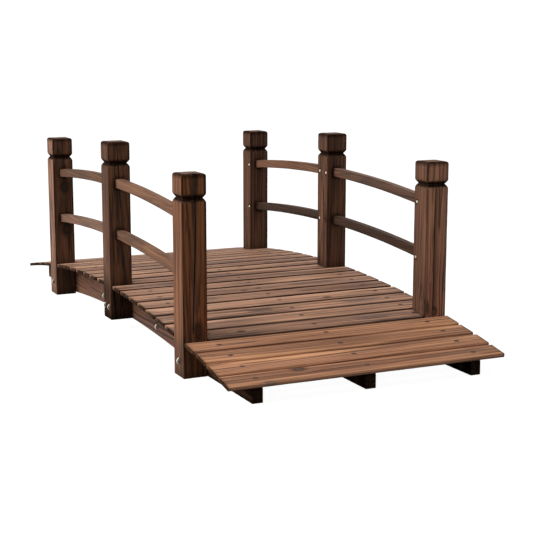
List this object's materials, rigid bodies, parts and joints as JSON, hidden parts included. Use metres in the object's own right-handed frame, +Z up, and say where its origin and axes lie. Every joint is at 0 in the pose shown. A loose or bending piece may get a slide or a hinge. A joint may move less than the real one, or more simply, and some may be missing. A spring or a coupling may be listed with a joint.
{
  "type": "garden footbridge",
  "caption": "Small arched garden footbridge: slatted deck on arched beams, square posts with grooved tops, and gently arched side rails.",
  "frame": {"origin": "on the ground under the middle of the deck", "axes": "+X along the bridge towards its front end, +Y across it towards its right railing as one steps on at the front, +Z up"},
  "size_m": [1.5604, 0.68, 0.479],
  "materials": {
    "deck_wood": "brown-stained softwood, satin, with darker grain and knots",
    "post_wood": "dark brown stained softwood, satin, charred at the groove and the edges",
    "rail_wood": "brown-stained softwood, satin",
    "beam_wood": "dark brown stained softwood, satin, with near-black sawn ends",
    "zinc_steel": "zinc-plated carriage bolts with their washers and nuts, and the rail screws, which only the visual model has",
    "dark_steel": "dark phosphated deck screws, which only the visual model has"
  },
  "bodies": {
    "root": {"beam_back_left": "beam_wood", "beam_back_middle": "beam_wood", "beam_back_right": "beam_wood", "beam_bolts_left": "zinc_steel", "beam_bolts_middle": "zinc_steel", "beam_bolts_right": "zinc_steel", "beam_front_left": "beam_wood", "beam_front_middle": "beam_wood", "beam_front_right": "beam_wood", "deck_slat_01": "deck_wood", "deck_slat_02": "deck_wood", "deck_slat_03": "deck_wood", "deck_slat_04": "deck_wood", "deck_slat_05": "deck_wood", "deck_slat_06": "deck_wood", "deck_slat_07": "deck_wood", "deck_slat_08": "deck_wood", "deck_slat_09": "deck_wood", "deck_slat_10": "deck_wood", "deck_slat_11": "deck_wood", "deck_slat_12": "deck_wood", "deck_slat_13": "deck_wood", "deck_slat_14": "deck_wood", "deck_slat_15": "deck_wood", "deck_slat_16": "deck_wood", "deck_slat_17": "deck_wood", "deck_slat_18": "deck_wood", "deck_slat_19": "deck_wood", "deck_slat_20": "deck_wood", "deck_slat_21": "deck_wood", "deck_slat_22": "deck_wood", "deck_slat_23": "deck_wood", "deck_slat_24": "deck_wood", "deck_slat_25": "deck_wood", "post_back_left": "post_wood", "post_back_right": "post_wood", "post_bolts_left": "zinc_steel", "post_bolts_right": "zinc_steel", "post_front_left": "post_wood", "post_front_right": "post_wood", "post_middle_left": "post_wood", "post_middle_right": "post_wood", "rail_lower_back_left": "rail_wood", "rail_lower_back_right": "rail_wood", "rail_lower_front_left": "rail_wood", "rail_lower_front_right": "rail_wood", "rail_upper_back_left": "rail_wood", "rail_upper_back_right": "rail_wood", "rail_upper_front_left": "rail_wood", "rail_upper_front_right": "rail_wood", "splice_left": "beam_wood", "splice_middle": "beam_wood", "splice_right": "beam_wood"}
  },
  "joints": []
}
